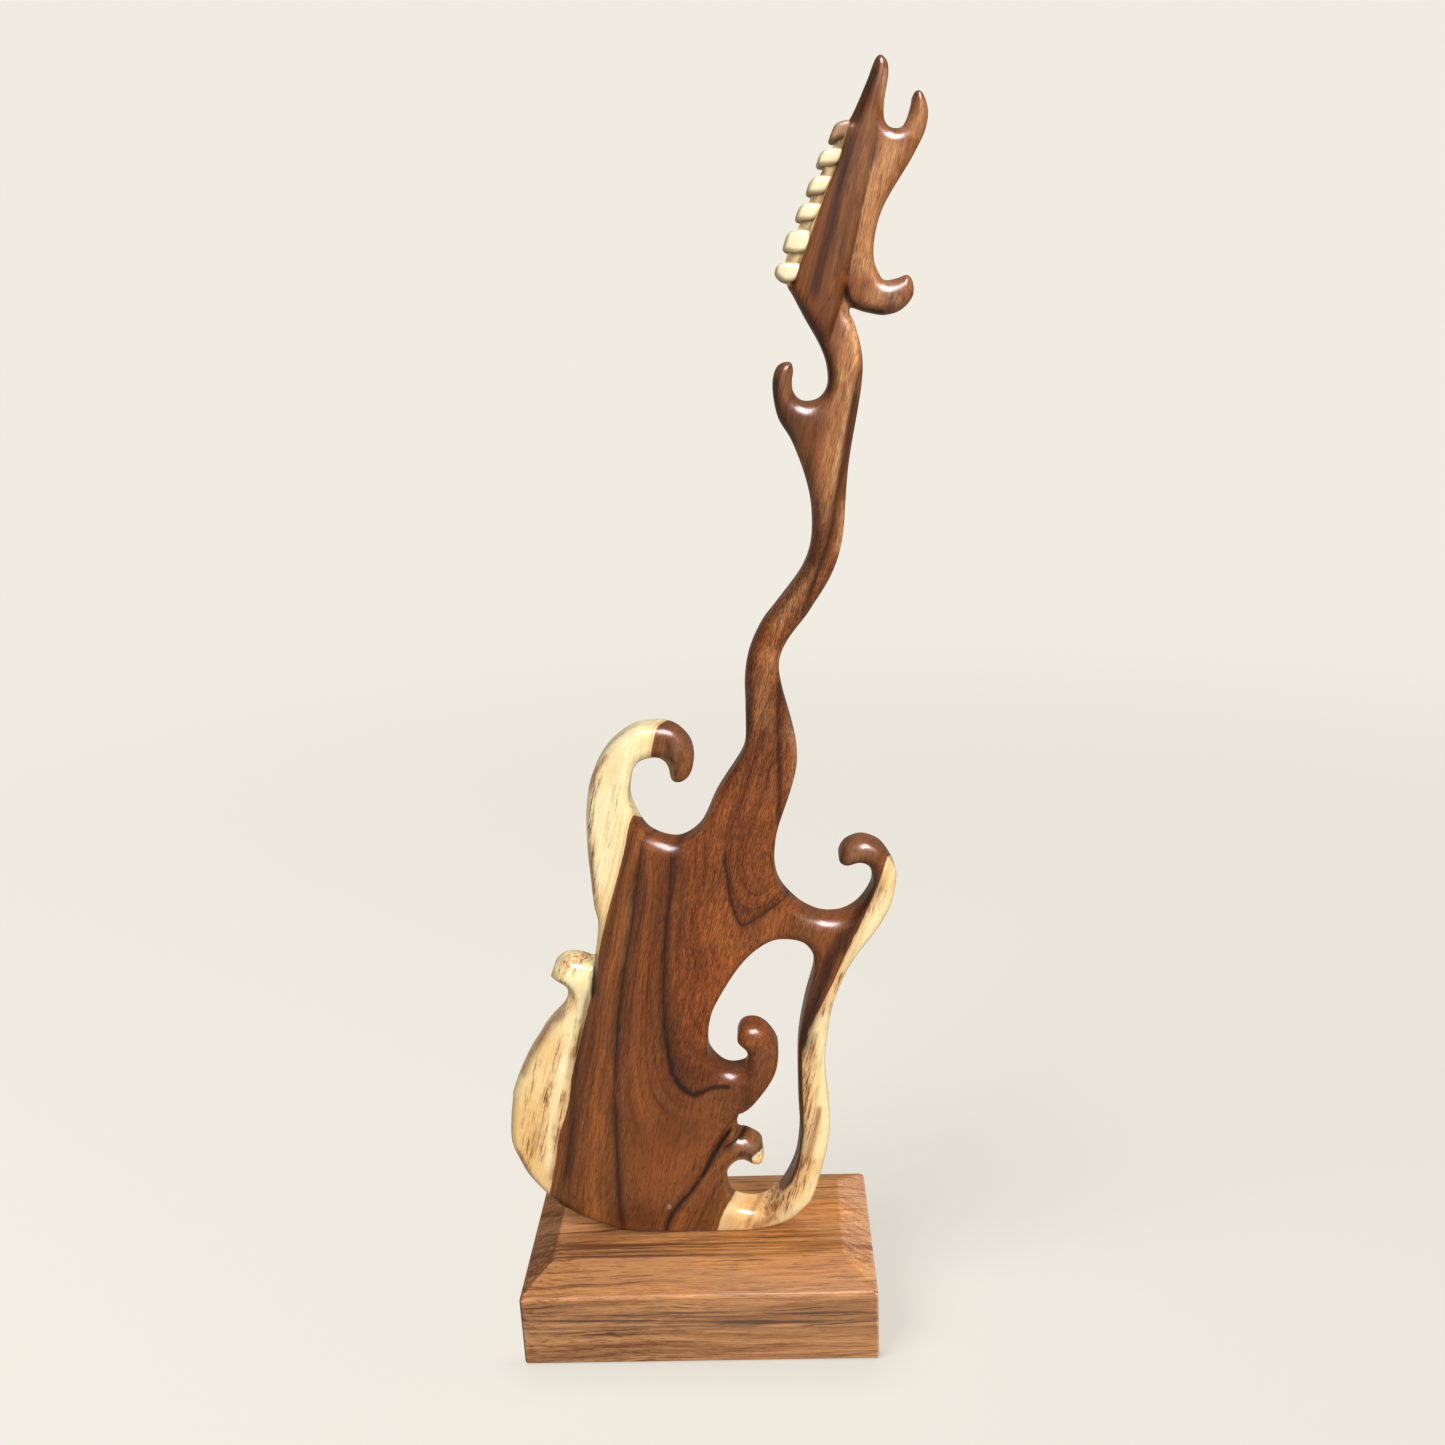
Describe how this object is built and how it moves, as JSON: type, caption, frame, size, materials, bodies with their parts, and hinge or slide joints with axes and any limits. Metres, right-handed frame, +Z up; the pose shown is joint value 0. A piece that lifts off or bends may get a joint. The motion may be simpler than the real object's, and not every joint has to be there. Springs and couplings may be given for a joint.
{
  "type": "carved guitar sculpture on a wooden base",
  "caption": "Flat carved wooden guitar shape with scrolled horns and let-in pegs, standing upright on a bevelled rectangular wood block.",
  "frame": {"origin": "centre of the felt's underside, where the piece stands", "axes": "+Z up, X along the long side of the base, the carved face looks toward -Y"},
  "size_m": [0.2131, 0.0974, 0.5999],
  "materials": {
    "carved_wood": "clear gloss lacquer over figured brown heartwood with cream sapwood edges",
    "peg_wood": "clear lacquer over pale sapwood",
    "base_wood": "satin lacquer over straight-grained orange-brown wood",
    "screw_steel": "zinc-plated",
    "felt": "pressed wool felt"
  },
  "bodies": {
    "root": {"guitar_carving": "carved_wood", "tuning_peg_1": "peg_wood", "tuning_peg_2": "peg_wood", "tuning_peg_3": "peg_wood", "tuning_peg_4": "peg_wood", "tuning_peg_5": "peg_wood", "tuning_peg_6": "peg_wood", "base_block": "base_wood", "base_screw_1": "screw_steel", "base_screw_2": "screw_steel", "base_felt": "felt"}
  },
  "joints": []
}
